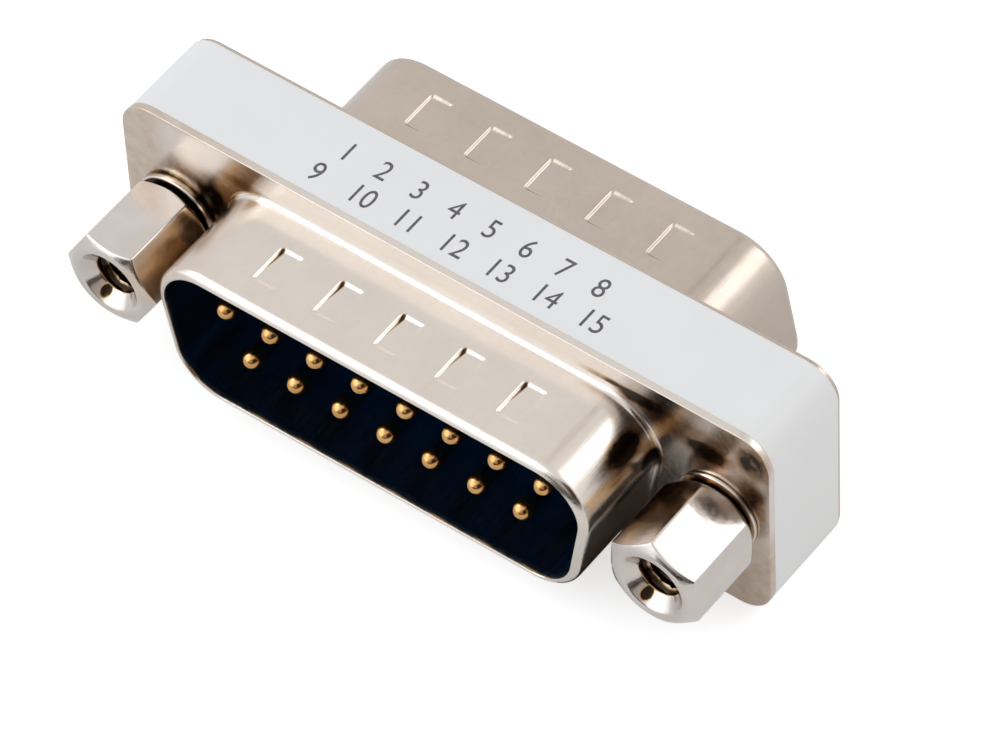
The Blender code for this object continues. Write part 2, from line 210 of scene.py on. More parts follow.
def ring_about(x, y, z, radius, sides):
    ring = []
    for k in range(sides):
        angle = 2 * math.pi * k / sides
        ring.append((x + radius * math.cos(angle), y, z + radius * math.sin(angle)))
    return ring


def turned(bm, profile, sides, x=0.0, z=0.0, closed=False):
    """Turns a profile of (radius, y) points about Y, capped on the axis unless closed."""
    rings = [ring_about(x, y, z, radius, sides) for radius, y in profile]
    verts = bridge(bm, rings, closed)
    if not closed:
        cap(bm, verts[0], (x, profile[0][1], z))
        cap(bm, verts[-1], (x, profile[-1][1], z))


def rounded(points, radius, steps=4):
    """Rounds each inner corner of a polyline of 2-D points."""
    result = [points[0]]
    for before, corner, after in zip(points, points[1:], points[2:]):
        a = Vector(before) - Vector(corner)
        b = Vector(after) - Vector(corner)
        reach = min(radius, 0.45 * a.length, 0.45 * b.length)
        start = Vector(corner) + a.normalized() * reach
        end = Vector(corner) + b.normalized() * reach
        for k in range(steps + 1):
            t = k / steps
            point = start * (1 - t) ** 2 + Vector(corner) * 2 * t * (1 - t) + end * t ** 2
            result.append(tuple(point))
    result.append(points[-1])
    return result


# Outlines in X and Z

CORNER_STEPS = 22
SLANT_STEPS = 14


def spread(start, end, steps):
    """Evenly spaced values strictly between two ends."""
    return [start + (end - start) * k / steps for k in range(1, steps)]


def dimple_columns():
    """X of the grid lines of a long side, close together at the edges of the dimples."""
    half = DIMPLE_WIDTH / 2
    left = [0.84, 0.80, 0.77, 0.74, 0.71, 0.68, 0.65, 0.62, 0.59, 0.56, 0.52, 0.47, 0.41, 0.34]
    offsets = [-value for value in left] + [-0.2, 0.0, 0.2, 0.35, 0.42, 0.5, 0.58, 0.66, 0.74, 0.8]
    columns = []
    for k in range(DIMPLE_COUNT):
        middle = (k - (DIMPLE_COUNT - 1) / 2) * DIMPLE_PITCH
        columns += [middle + offset * half / 0.80 for offset in offsets]
        if k < DIMPLE_COUNT - 1:
            columns += [middle + DIMPLE_PITCH * t for t in (0.35, 0.5, 0.65)]
    return columns


LONG_SIDE = dimple_columns()


def arc(centre, radius, start, end, steps=CORNER_STEPS):
    points = []
    for k in range(steps + 1):
        angle = math.radians(start + (end - start) * k / steps)
        points.append((centre[0] + radius * math.cos(angle), centre[1] + radius * math.sin(angle)))
    return points


def straight(start, end, steps):
    """Points strictly between two ends of a straight side."""
    return list(zip(spread(start[0], end[0], steps), spread(start[1], end[1], steps)))


def joined(corners, marks, height):
    """Joins four corner arcs with the long sides' marks and evenly spaced short sides."""
    outline = [(x, height) for x in marks] + corners[0]
    outline += straight(corners[0][-1], corners[1][0], SLANT_STEPS) + corners[1]
    outline += [(x, -height) for x in marks[::-1]] + corners[2]
    outline += straight(corners[2][-1], corners[3][0], SLANT_STEPS) + corners[3]
    return outline


def d_outline(offset, marks=None):
    """Clockwise D outline, wide side up, at an offset from the shroud's outer surface."""
    slant = math.radians(SHROUD_SLANT)
    radius = SHROUD_CORNER + offset
    top = SHROUD_HEIGHT / 2
    half_top = SHROUD_WIDTH / 2 - SHROUD_CORNER / math.tan((math.pi / 2 - slant) / 2)
    narrow = SHROUD_WIDTH / 2 - SHROUD_HEIGHT * math.tan(slant)
    half_bottom = narrow - SHROUD_CORNER / math.tan((math.pi / 2 + slant) / 2)
    z = top - SHROUD_CORNER
    corners = [
        arc((half_top, z), radius, 90, -SHROUD_SLANT),
        arc((half_bottom, -z), radius, -SHROUD_SLANT, -90),
        arc((-half_bottom, -z), radius, 270, 180 + SHROUD_SLANT),
        arc((-half_top, z), radius, 180 + SHROUD_SLANT, 90),
    ]
    return joined(corners, LONG_SIDE if marks is None else marks, top + offset)


def box_outline(length, height, radius, marks=None):
    """Clockwise rounded rectangle, with the same corner order as the D outline."""
    x = length / 2 - radius
    z = height / 2 - radius
    corners = [
        arc((x, z), radius, 90, 0),
        arc((x, -z), radius, 0, -90),
        arc((-x, -z), radius, 270, 180),
        arc((-x, z), radius, 180, 90),
    ]
    return joined(corners, LONG_SIDE if marks is None else marks, height / 2)


def at_depth(outline, y):
    return [(x, y, z) for x, z in outline]


# Stamped shells

def smooth_step(value):
    value = min(1.0, max(0.0, value))
    return value * value * (3 - 2 * value)


def dimple_place(x, y):
    """Signed distances of a point of a long side from the middle of its nearest dimple."""
    nearest = round(x / DIMPLE_PITCH)
    if abs(nearest) > (DIMPLE_COUNT - 1) / 2:
        return None
    return x - nearest * DIMPLE_PITCH, abs(y) - (DIMPLE_FRONT + DIMPLE_BACK) / 2


def dimple_press(x, y):
    """How far the sheet is pressed in at a point of a long side, with y from the middle of the body."""
    place = dimple_place(x, y)
    if place is None:
        return 0.0
    half = (DIMPLE_FRONT - DIMPLE_BACK) / 2
    from_left = place[0] + DIMPLE_WIDTH / 2
    from_right = DIMPLE_WIDTH / 2 - place[0]
    from_back = place[1] + half
    from_front = half - place[1]
    left = smooth_step(from_left / DIMPLE_WALL)
    back = smooth_step(from_back / (1.5 * DIMPLE_WALL))
    right = smooth_step(from_right / 0.42)
    front = smooth_step(from_front / 0.36)
    ramp = 1 - 0.35 * from_left / DIMPLE_WIDTH
    return DIMPLE_DEPTH * left * back * right * front * ramp


def dimple_stain(x, y):
    """Painted shade, brown: the foot of a dimple's steep left wall, near its deep end, and a dark dot in
    its deep corner.
    """
    place = dimple_place(x, y)
    if place is None:
        return 0.0
    half = (DIMPLE_FRONT - DIMPLE_BACK) / 2
    from_left = place[0] + DIMPLE_WIDTH / 2
    deep = (half - place[1]) / (2 * half)
    reach = DIMPLE_WALL * 0.85 + 0.18 * smooth_step((deep - 0.25) / 0.65)
    band = 0.8 * smooth_step((from_left - DIMPLE_WALL * 0.62) / 0.05)
    band *= smooth_step((reach - from_left) / 0.06)
    dot = 1.5 * smooth_step(1.5 - math.hypot((from_left - 0.21) / 0.10, (place[1] + half - 0.27) / 0.19))
    return max(band * smooth_step((1 - deep) / 0.04), dot)


def pressed(outline, y):
    """A D ring at a depth, pressed in along both long sides where the dimples are."""
    ring = at_depth(outline, y)
    count = len(LONG_SIDE)
    second = count + 2 * (CORNER_STEPS + 1) + SLANT_STEPS - 1
    for start, direction in ((0, -1.0), (second, 1.0)):
        for k in range(count):
            x, depth, z = ring[start + k]
            ring[start + k] = (x, depth, z + direction * dimple_press(x, depth))
    return ring


def dimple_rows():
    """Y of the grid lines from the mouth's side to the flange's side of the dimples."""
    front = -DIMPLE_FRONT
    back = -DIMPLE_BACK
    rows = [front - 0.05, front, front + 0.05, front + 0.10, front + 0.15, front + 0.22, front + 0.32]
    rows += spread(front + 0.32, back - 0.36, 7)
    rows += [back - value for value in (0.36, 0.28, 0.22, 0.17, 0.13, 0.09, 0.05, 0.02, -0.03)]
    return rows


def flange_lift(x):
    """How far the front flange stands forward of the CAD's, which grows along its length."""
    return FLANGE_LIFT * (1 + 2 * x / FLANGE_LENGTH)


# Count of the last rings of a shell, which lie on its inside wall
INNER_RINGS = 4


def shell_rings(flange_inset):
    """Rings of one shell, from the inside of the lip round the outside and back."""
    face = -BODY_DEPTH / 2
    mouth = face - SHROUD_REACH
    opening = -SHEET - LIP_TURN_IN
    rings = [at_depth(d_outline(opening), mouth + 0.30)]
    lip = [(opening, mouth + 0.10), (opening + 0.03, mouth + 0.03), (opening + 0.09, mouth)]
    for k in range(13):
        share = 1 - k / 12.5
        lip.append((-LIP_DROP * share ** 3.2, mouth + LIP_LENGTH * (1 - share)))
    rings += [at_depth(d_outline(offset), y) for offset, y in lip]
    rings += [pressed(d_outline(0.0), y) for y in dimple_rows()]
    fillet = 10
    for y in spread(-DIMPLE_BACK + 0.03, face - BASE_FILLET, 8):
        rings.append(at_depth(d_outline(0.0), y))
    for k in range(fillet + 1):
        turn = math.radians(90 * k / fillet)
        offset = BASE_FILLET * (1 - math.cos(turn))
        rings.append(at_depth(d_outline(offset), face - BASE_FILLET * (1 - math.sin(turn))))
    near = d_outline(BASE_FILLET)
    far = flange_ring(flange_inset + 0.06, face)
    for share in spread(0.0, 1.0, 14):
        ring = []
        for (x, z), (far_x, _, far_z) in zip(near, far):
            ring.append((x + (far_x - x) * share, face, z + (far_z - z) * share))
        rings.append(ring)
    edge = 0.035
    for k in range(7):
        turn = math.radians(15 * k)
        inset = flange_inset + edge * (1 - math.sin(turn))
        rings.append(flange_ring(inset, face + edge * (1 - math.cos(turn))))
    rings.append(flange_ring(flange_inset, face + SHEET - 0.02))
    rings.append(flange_ring(flange_inset + 0.02, face + SHEET))
    inner = BASE_FILLET + SHEET
    for k in range(fillet + 1):
        turn = math.radians(90 - 90 * k / fillet)
        offset = -SHEET + inner * (1 - math.cos(turn))
        rings.append(at_depth(d_outline(offset), face + SHEET - inner * (1 - math.sin(turn))))
    rings += [at_depth(d_outline(-SHEET), y) for y in (face - 0.6, mouth + 2.0)]
    rings.append(at_depth(d_outline(-SHEET), mouth + 0.62))
    rings.append(at_depth(d_outline(-SHEET - 0.04), mouth + 0.50))
    return rings


def flange_ring(inset, y):
    outline = box_outline(FLANGE_LENGTH - 2 * inset, FLANGE_HEIGHT - 2 * inset, FLANGE_CORNER - inset)
    return at_depth(outline, y)


def blotch(point, centre, reach):
    """Strength of a painted shade spot at a point: full in its middle, nothing beyond its reach."""
    away = [(point[k] - centre[k]) / reach[k] for k in range(3)]
    return smooth_step(1.4 - math.hypot(*away))


# Painted shade and reflections on the front shell, as dark spots: strength, middle and reach
PAINTED_SHADE_SPOTS = (
    (1.9, (-14.05, -2.85, 2.0), (0.95, 0.5, 1.15)),
    (0.55, (-15.5, -2.85, 3.1), (1.0, 0.5, 0.35)),
    (0.5, (-13.0, -2.85, 3.2), (0.9, 0.5, 0.5)),
    (0.6, (-12.0, -2.85, 4.6), (1.2, 0.5, 0.4)),
    (1.7, (11.9, -2.85, 5.1), (1.25, 0.6, 0.6)),
    (0.65, (14.2, -2.85, 4.5), (2.3, 0.6, 1.0)),
    (1.5, (15.9, -2.85, 3.75), (1.3, 0.6, 0.7)),
    (1.15, (18.55, -2.85, 4.75), (0.95, 0.6, 1.1)),
    (0.75, (18.5, -2.85, 2.0), (0.75, 0.6, 1.5)),
    (1.9, (12.30, -4.85, 3.25), (0.72, 1.45, 0.62)),
    (1.9, (13.0, -3.4, 1.6), (0.4, 1.0, 0.75)),
    (1.6, (13.0, -5.0, 1.25), (0.5, 1.6, 0.34)),
)


def shell_tarnish(point):
    """Painted shade and reflections, brown to nearly black: in the hollows round the jacks, and at the
    feet of the dimples.
    """
    if point.y < -DIMPLE_BACK + 0.1 and abs(point.x) < 9.0:
        return dimple_stain(point.x, point.y) if point.z > SHROUD_HEIGHT / 2 - 0.3 else 0.0
    on_flange = point.y > -BODY_DEPTH / 2 - 0.2
    # Painted shade: darker towards the left end of the shroud and of the flange, and low on the flange
    # right of the right jack
    amount = 0.10 * smooth_step((-point.x - 9.0) / 3.0)
    if on_flange:
        amount = 0.25 * smooth_step((-point.x - 16.4) / 1.4)
    if on_flange and point.x > RIGHT_FASTENER:
        amount = 0.30 * smooth_step((1.0 - point.z) / 3.0)
    for strength, centre, reach in PAINTED_SHADE_SPOTS:
        amount = max(amount, strength * blotch(point, centre, reach))
    return amount


def make_shell(name, material, flange_inset=0.0, rear=False):
    """A stamped shell, with its painted shade and reflections, and the painted shade of its inside wall,
    as attributes of its points.
    """
    bm = bmesh.new()
    bm.verts.layers.float.new("painted_shade")
    bm.verts.layers.float.new("inside")
    rings = bridge(bm, shell_rings(flange_inset), closed=True)
    layer = bm.verts.layers.float["painted_shade"]
    inside = bm.verts.layers.float["inside"]
    # Painted shade on the inside wall of the shroud
    for ring in rings[-INNER_RINGS:]:
        for vert in ring:
            vert[inside] = 1.0
    for vert in bm.verts:
        if not rear:
            vert[layer] = shell_tarnish(vert.co)
            vert.co.y -= flange_lift(vert.co.x) * smooth_step(vert.co.y + BODY_DEPTH / 2 + LIFT_START)
    if rear:
        turn_half(bm)
    item = finish(bm, name, material)
    for x in (LEFT_FASTENER, RIGHT_FASTENER):
        cutter = bmesh.new()
        turned(cutter, [(SCREW_HOLE / 2, -BODY_DEPTH), (SCREW_HOLE / 2, BODY_DEPTH)], 32, x)
        subtract(item, finish(cutter, "hole", material))
    return item


# Insulators and contacts

def contact_places():
    places = []
    for count, side in ((WIDE_ROW_COUNT, 1), (NARROW_ROW_COUNT, -1)):
        for k in range(count):
            places.append(((k - (count - 1) / 2) * CONTACT_PITCH, side))
    return places


INSULATOR_FLOOR = BODY_DEPTH / 2 + FLOOR_RAISE


def make_insulator(name, material, rear=False):
    """The moulded board whose D boss is the floor of the shroud, with a bore for each contact."""
    face = -BODY_DEPTH / 2
    back = face + SHEET + BOARD_THICKNESS
    front = face + SHEET + CLEARANCE
    inset = LABEL_THICKNESS + 2 * CLEARANCE
    board = box_outline(FLANGE_LENGTH - 2 * inset, FLANGE_HEIGHT - 2 * inset, FLANGE_CORNER - inset)
    gap = -SHEET - CLEARANCE
    edge = 0.12
    bm = bmesh.new()
    rings = [
        at_depth(board, back),
        at_depth(board, front),
        at_depth(d_outline(gap), front),
        at_depth(d_outline(gap), -INSULATOR_FLOOR + edge),
        at_depth(d_outline(gap - edge / 3), -INSULATOR_FLOOR + edge / 3),
        at_depth(d_outline(gap - edge), -INSULATOR_FLOOR),
    ]
    verts = bridge(bm, rings)
    bm.faces.new(verts[0])
    bm.faces.new(verts[-1])
    if rear:
        turn_half(bm)
    item = finish(bm, name, material)
    cutter = bmesh.new()
    radius = PIN_DIAMETER / 2 + PIN_BORE_CLEARANCE
    chamfer = 0.10
    flare = radius + chamfer
    sign = -1 if rear else 1
    for x, side in contact_places():
        z = side * sign * ROW_SPACING / 2
        low = -sign * (INSULATOR_FLOOR + 0.5)
        lip = -sign * (INSULATOR_FLOOR + 0.001)
        floor = -sign * (INSULATOR_FLOOR - chamfer)
        end = sign * CLEARANCE
        turned(cutter, [(flare, low), (flare, lip), (radius, floor), (radius, end)], 28, x, z)
    seat = BUSH_DIAMETER / 2 + CLEARANCE
    for x in (LEFT_FASTENER, RIGHT_FASTENER):
        turned(cutter, [(seat, -BODY_DEPTH), (seat, BODY_DEPTH)], 32, x)
    subtract(item, finish(cutter, "bores", material))
    return item


def contact_profile():
    """Radius and distance behind the tip of a pin: a full bullet nose, then the shank."""
    points = []
    steps = 12
    for k in range(1, steps + 1):
        turn = math.radians(90 * k / steps)
        points.append((NOSE_RADIUS * math.sin(turn), NOSE_LENGTH * (1 - math.cos(turn))))
    points += [(NOSE_RADIUS, 0.80), (PIN_DIAMETER / 2, 1.0)]
    return points


def make_contact(number, x, side, material):
    """A double-ended pin, high at one end and low at the other, with a slanting link."""
    sides = 28
    tip = BODY_DEPTH / 2 + SHROUD_REACH - PIN_SETBACK
    shank = BODY_DEPTH / 2 - SHEET - BOARD_THICKNESS + LINK_STRAIGHT
    bend = shank - LINK_STRAIGHT
    link_radius = LINK_DIAMETER / 2
    height = ROW_SPACING / 2
    slope = math.atan2(2 * height, 2 * bend)
    half = [(radius, -tip + back, height, 0.0) for radius, back in contact_profile()]
    half.append((PIN_DIAMETER / 2, -shank, height, 0.0))
    half.append((link_radius, -shank, height, 0.0))
    half.append((link_radius, -bend, height, slope / 2))
    stations = half + [(r, -y, -z, lean) for r, y, z, lean in half[::-1]]
    bm = bmesh.new()
    rings = []
    for radius, y, z, lean in stations:
        ring = []
        for px, _, pz in ring_about(0.0, 0.0, 0.0, radius, sides):
            ring.append((x + px, y + side * pz * math.tan(lean), side * z + pz))
        rings.append(ring)
    verts = bridge(bm, rings)
    cap(bm, verts[0], (x, -tip, side * height))
    cap(bm, verts[-1], (x, tip, -side * height))
    item = finish(bm, f"pin_{number:02d}", material)
    stand_for(item, "gold_plate", f"contact_{number:02d}")


# Wrap label

def lap_lift(z):
    """How far the label stands out at a height of its left end, where its end laps over."""
    if not LABEL_LAP_BOTTOM < z < LABEL_LAP_TOP:
        return 0.0
    rise = smooth_step((z - LABEL_LAP_BOTTOM) / 0.30)
    fall = smooth_step((LABEL_LAP_TOP - z) / 0.35)
    return LABEL_LAP_LIFT * rise * fall


def make_label(material):
    """The sleeve of film round the body, whose front edge follows the lean of the front flange."""
    front = -BODY_DEPTH / 2 + SHEET + HAIR_GAP
    back = BODY_DEPTH / 2 - LABEL_BACK_INSET
    edge = 0.02
    marks = spread(-16.0, 16.0, 33)
    rows = [front, front + edge] + spread(front + edge, back - edge, 6) + [back - edge, back]
    insets = [edge, 0.0] + [0.0] * 5 + [0.0, edge]
    outer_rings = []
    for y, inset in zip(rows, insets):
        outline = label_outline(inset, marks)
        outer_rings.append(at_depth(outline, y))
    inner = label_outline(LABEL_THICKNESS - 0.015, marks, lapped=False)
    rings = outer_rings + [at_depth(inner, back), at_depth(inner, front)]
    bm = bmesh.new()
    bridge(bm, rings, closed=True)
    for vert in bm.verts:
        vert.co.y -= flange_lift(vert.co.x) * (back - vert.co.y) / (back - front)
    item = finish(bm, "label_sleeve", material)
    stand_for(item, "white_label", "wrap_label")


def label_outline(inset, marks, lapped=True):
    """Clockwise rounded rectangle just inside the flange's outline, with the lap at its left end."""
    length = FLANGE_LENGTH - 2 * (inset + LABEL_RECESS)
    height = FLANGE_HEIGHT - 2 * (inset + LABEL_RECESS)
    radius = FLANGE_CORNER - inset
    x = length / 2 - radius
    z = height / 2 - radius
    outline = [(mark, height / 2) for mark in marks]
    outline += arc((x, z), radius, 90, 0) + straight((length / 2, z), (length / 2, -z), SLANT_STEPS)
    outline += arc((x, -z), radius, 0, -90) + [(-mark, -height / 2) for mark in marks]
    outline += arc((-x, -z), radius, 270, 180)
    for step in spread(-z, z, 60):
        outline.append((-length / 2 - (lap_lift(step) if lapped else 0.0), step))
    outline += arc((-x, z), radius, 180, 90)
    return outline


# Contact numbers printed on the label

NUMBER_HEIGHT = 1.22
NUMBER_WIDTH = 0.86
CAPITAL_SHARE = 0.70
PRINT_THICKNESS = 0.008

# Rows of numbers: which, the left and right ends, and their distance back from the middle
PRINT_ROWS = (
    (range(1, 9), -8.1, 7.1, 0.08),
    (range(9, 16), -8.6, 8.0, -1.80),
)


def make_number(number, x, y, material):
    """One printed number, lying on the label's top with its foot towards the front."""
    curve = bpy.data.curves.new(f"number_{number}", "FONT")
    curve.body = str(number)
    curve.size = NUMBER_HEIGHT * MM / CAPITAL_SHARE
    curve.align_x = "CENTER"
    curve.extrude = PRINT_THICKNESS * MM / 2
    source = bpy.data.objects.new("number", curve)
    bpy.context.scene.collection.objects.link(source)
    bpy.context.view_layer.update()
    graph = bpy.context.evaluated_depsgraph_get()
    mesh = bpy.data.meshes.new_from_object(source.evaluated_get(graph))
    bpy.data.objects.remove(source, do_unlink=True)
    bpy.data.curves.remove(curve)
    top = FLANGE_HEIGHT / 2 - LABEL_RECESS
    narrowed = Matrix.Diagonal((NUMBER_WIDTH, 1.0, 1.0, 1.0))
    mesh.transform(Matrix.Translation(MIDDLE + Vector((x, y, top)) * MM) @ narrowed)
    mesh.materials.clear()
    mesh.materials.append(material)
    item = bpy.data.objects.new(f"print_{number:02d}", mesh)
    bpy.context.scene.collection.objects.link(item)
    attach(item, "root")


def make_print(material):
    for numbers, left, right, y in PRINT_ROWS:
        for k, number in enumerate(numbers):
            make_number(number, left + (right - left) * k / (len(numbers) - 1), y, material)


# Standoffs, washers and bushes

STANDOFF_BASE = -BODY_DEPTH / 2 - WASHER_THICKNESS - 2 * CLEARANCE
STANDOFF_END = STANDOFF_BASE - HEX_LENGTH
BORE_START = STANDOFF_END + FLARE_DEPTH

# The facet of each standoff with painted shade and reflections: its angle from the hexagon's turn, its
# painted shade at the front, and the share of its length where more painted shade begins
LEFT_PAINTED_SHADE = (30.0, 0.20, 0.74)
RIGHT_PAINTED_SHADE = (90.0, 0.0, 0.50)

# The painted reflection in each countersink, a dark spot, from the socket's axis
SPOT_PLACE = (-0.52, -1.32)
SPOT_RADIUS = 0.36
SPOT_EDGE = 0.14


def hexagon(turn):
    """(angle, radius) pairs round a hexagon with slightly rounded edges."""
    apothem = HEX_FLATS / 2
    centre = (apothem - HEX_EDGE) / math.cos(math.radians(30))
    points = []
    for side in range(6):
        vertex = math.radians(turn + 60 * side)
        for k in range(-3, 4):
            lean = math.radians(10 * k)
            px = centre + HEX_EDGE * math.cos(lean)
            pz = HEX_EDGE * math.sin(lean)
            points.append((vertex + math.atan2(pz, px), math.hypot(px, pz)))
        for k in range(1, 16):
            angle = math.radians(-30 + 60 * k / 16)
            points.append((vertex + math.radians(30) + angle, apothem / math.cos(angle)))
    return points


def thread_radius(angle, y):
    """Radius of the threaded bore, with flat crests and a soft run-in at its mouth."""
    phase = (y / THREAD_PITCH + angle / (2 * math.pi)) % 1.0
    groove = min(1.0, 1.25 * (1 - abs(2 * phase - 1)))
    return SOCKET_DIAMETER / 2 + THREAD_DEPTH * groove * smooth_step((y - BORE_START - 0.05) / 0.25)


def standoff_tarnish(point, x, turn, facet_shade):
    """Painted shade on one facet, at the rear end and in the threads, and a painted reflection: a dark
    spot in the countersink.
    """
    angle, front_shade, shade_from = facet_shade
    across = point.x - x
    radius = math.hypot(across, point.z)
    away = math.degrees(math.atan2(point.z, across)) - turn - angle
    backwards = (point.y - STANDOFF_END) / HEX_LENGTH
    facet = front_shade + 0.9 * smooth_step((backwards - shade_from) / 0.30)
    facet *= smooth_step((29.5 - abs(away)) / 2.5)
    rear = 0.75 * smooth_step((backwards - 0.90) / 0.08)
    amount = smooth_step((radius - 2.0) / 0.12) * max(facet, rear)
    if radius < 1.5:
        groove = smooth_step((radius - SOCKET_DIAMETER / 2) / (0.8 * THREAD_DEPTH))
        bore = (0.72 + 0.8 * groove) * smooth_step((point.y - BORE_START + 0.1) / 0.2)
        amount = max(amount, bore)
    if point.y < BORE_START:
        reach = math.hypot(across - SPOT_PLACE[0], point.z - SPOT_PLACE[1])
        amount = max(amount, 1.5 * smooth_step((SPOT_RADIUS - reach) / SPOT_EDGE))
    return amount


def make_standoff(name, x, turn, node, material, facet_shade):
    """A hexagonal jack socket with rounded chamfers, a countersink, a threaded bore and a stud."""
    base = STANDOFF_BASE
    end = STANDOFF_END
    tip = base + STUD_LENGTH
    front_rim = HEX_FLATS / 2 - HEX_FRONT_CHAMFER
    rear_rim = HEX_FLATS / 2 - HEX_REAR_CHAMFER
    front_slope = math.tan(math.radians(HEX_FRONT_ANGLE))
    rear_slope = math.tan(math.radians(HEX_REAR_ANGLE))
    socket = SOCKET_DIAMETER / 2
    flare = SOCKET_FLARE / 2
    stud = STUD_DIAMETER / 2 - 0.05
    thread_rows = 60
    inside = [(socket, BORE_START + 0.2), (socket, BORE_START), (flare, end), (front_rim, end)]
    mouth = rounded(inside, 0.18, 6)[1:-1]
    (inner_radius, inner_y), (outer_radius, outer_y) = mouth[6], mouth[7]
    cone = zip(spread(inner_radius, outer_radius, 8), spread(inner_y, outer_y, 8))
    mouth = mouth[:7] + list(cone) + mouth[7:]
    columns = []
    for angle, radius in hexagon(turn):
        outside = [
            (flare, end),
            (front_rim, end),
            (radius, end + (radius - front_rim) * front_slope),
            (radius, base - (radius - rear_rim) * rear_slope),
            (rear_rim, base),
            (stud, base),
        ]
        column = mouth + rounded(outside, 0.10, 4)[1:]
        column += [(stud, tip - STUD_CHAMFER), (stud - STUD_CHAMFER, tip)]
        thread = []
        for k in range(thread_rows + 1):
            y = BORE_START + 0.12 + (SOCKET_DEPTH - FLARE_DEPTH) * (thread_rows - k) / thread_rows
            thread.append((thread_radius(angle, y), y))
        columns.append((angle, thread + column))
    bm = bmesh.new()
    rings = []
    for row in range(len(columns[0][1])):
        ring = []
        for angle, column in columns:
            radius, y = column[row]
            ring.append((x + radius * math.cos(angle), y, radius * math.sin(angle)))
        rings.append(ring)
    verts = bridge(bm, rings)
    cap(bm, verts[0], (x, end + SOCKET_DEPTH + DRILL_POINT, 0.0))
    cap(bm, verts[-1], (x, tip, 0.0))
    # Painted shade and reflections, kept as an attribute of the points
    layer = bm.verts.layers.float.new("painted_shade")
    for vert in bm.verts:
        vert[layer] = standoff_tarnish(vert.co, x, turn, facet_shade)
    item = finish(bm, name, material, sharp_angle=50.0)
    stand_for(item, "bright_nickel", node)


def make_washer(name, x, node, material):
    """A thin ring that sits a little off its stud, with painted shade on its face and foot, which leaves
    its rim bright.
    """
    near = -BODY_DEPTH / 2 - flange_lift(x) - HAIR_GAP
    far = -BODY_DEPTH / 2 - CLEARANCE - WASHER_THICKNESS
    inner = STUD_DIAMETER / 2 + CLEARANCE + WASHER_PLAY
    outer = WASHER_DIAMETER / 2 - WASHER_TRIM
    x -= WASHER_SHIFT
    corners = [(inner, near), (inner, far), (outer, far), (outer, near), (inner, near)]
    bm = bmesh.new()
    turned(bm, rounded(corners, 0.12, 5)[1:-1] + [(inner, near)], 72, x, closed=True)
    layer = bm.verts.layers.float.new("painted_shade")
    for vert in bm.verts:
        radius = math.hypot(vert.co.x - x, vert.co.z)
        # Painted shade: the washer's face and foot go dark, as in the shadowed groove by the hex
        face_dark = 1.7 * smooth_step((outer - 0.08 - radius) / 0.06)
        side_dark = smooth_step((vert.co.y - far - 0.12) / 0.10)
        vert[layer] = max(face_dark, side_dark)
    stand_for(finish(bm, name, material), "bright_nickel", node)


def make_bush(name, x, node, material):
    """The clamping bush: a threaded tube whose swaged head shows on the rear flange."""
    face = BODY_DEPTH / 2
    inner = STUD_DIAMETER / 2 + 2 * CLEARANCE
    outer = BUSH_DIAMETER / 2
    neck = SCREW_HOLE / 2 - CLEARANCE
    near = -face + SHEET + CLEARANCE
    shoulder = face - SHEET - CLEARANCE
    seat = face + CLEARANCE
    top = face + BUSH_HEAD
    tube = [(outer, near), (outer, shoulder), (neck, shoulder), (neck, seat), (outer, seat)]
    crown = [(outer, seat), (outer - BUSH_TAPER, top), (inner + 0.2, top), (inner, face + 0.15)]
    head = rounded(crown, 0.12, 4)[1:]
    bore = []
    rows = 24
    for k in range(rows + 1):
        y = face + 0.10 - (face + 0.10 - near) * k / rows
        bore.append((inner + 0.08 * (k % 2), y))
    bm = bmesh.new()
    turned(bm, tube + head + bore, 48, x, closed=True)
    stand_for(finish(bm, name, material, sharp_angle=30.0), "bright_nickel", node)


# Materials

def new_material(name, colour, metallic, roughness):
    material = bpy.data.materials.new(name)
    material.use_nodes = True
    shader = material.node_tree.nodes["Principled BSDF"]
    shader.inputs["Base Color"].default_value = (*colour, 1.0)
    shader.inputs["Metallic"].default_value = metallic
    shader.inputs["Roughness"].default_value = roughness
    return material, shader


def add_node(material, kind, **values):
    node = material.node_tree.nodes.new(kind)
    for key, value in values.items():
        setattr(node, key, value)
    return node


def link(material, output, target):
    material.node_tree.links.new(output, target)


def object_coordinates(material, scale):
    """Object coordinates, stretched so that one unit is the given count of cells per millimetre."""
    where = add_node(material, "ShaderNodeTexCoord")
    mapping = add_node(material, "ShaderNodeMapping")
    mapping.inputs["Scale"].default_value = [value / MM for value in scale]
    link(material, where.outputs["Object"], mapping.inputs["Vector"])
    return mapping.outputs["Vector"]


def noise(material, scale, detail=3.0, roughness=0.5):
    texture = add_node(material, "ShaderNodeTexNoise")
    texture.inputs["Scale"].default_value = 1.0
    texture.inputs["Detail"].default_value = detail
    texture.inputs["Roughness"].default_value = roughness
    link(material, object_coordinates(material, scale), texture.inputs["Vector"])
    return texture.outputs["Fac"]


def remap(material, value, low, high, from_low=0.3, from_high=0.7):
    node = add_node(material, "ShaderNodeMapRange")
    node.inputs["From Min"].default_value = from_low
    node.inputs["From Max"].default_value = from_high
    node.inputs["To Min"].default_value = low
    node.inputs["To Max"].default_value = high
    link(material, value, node.inputs["Value"])
    return node.outputs["Result"]


def blend_colours(material, value, low, high):
    """Blends two colours by the middle range of a noise."""
    share = remap(material, value, 0.0, 1.0)
    node = add_node(material, "ShaderNodeMix", data_type="RGBA")
    node.inputs["A"].default_value = (*low, 1.0)
    node.inputs["B"].default_value = (*high, 1.0)
    link(material, share, node.inputs["Factor"])
    return node.outputs["Result"]


def add_bump(material, shader, height, distance, strength=1.0):
    node = add_node(material, "ShaderNodeBump")
    node.inputs["Strength"].default_value = strength
    node.inputs["Distance"].default_value = distance * MM
    link(material, height, node.inputs["Height"])
    link(material, node.outputs["Normal"], shader.inputs["Normal"])


def clamped(material, operation, value, first, second=0.0):
    node = add_node(material, "ShaderNodeMath", operation=operation, use_clamp=True)
    link(material, value, node.inputs[0])
    node.inputs[1].default_value = first
    node.inputs[2].default_value = second
    return node.outputs[0]


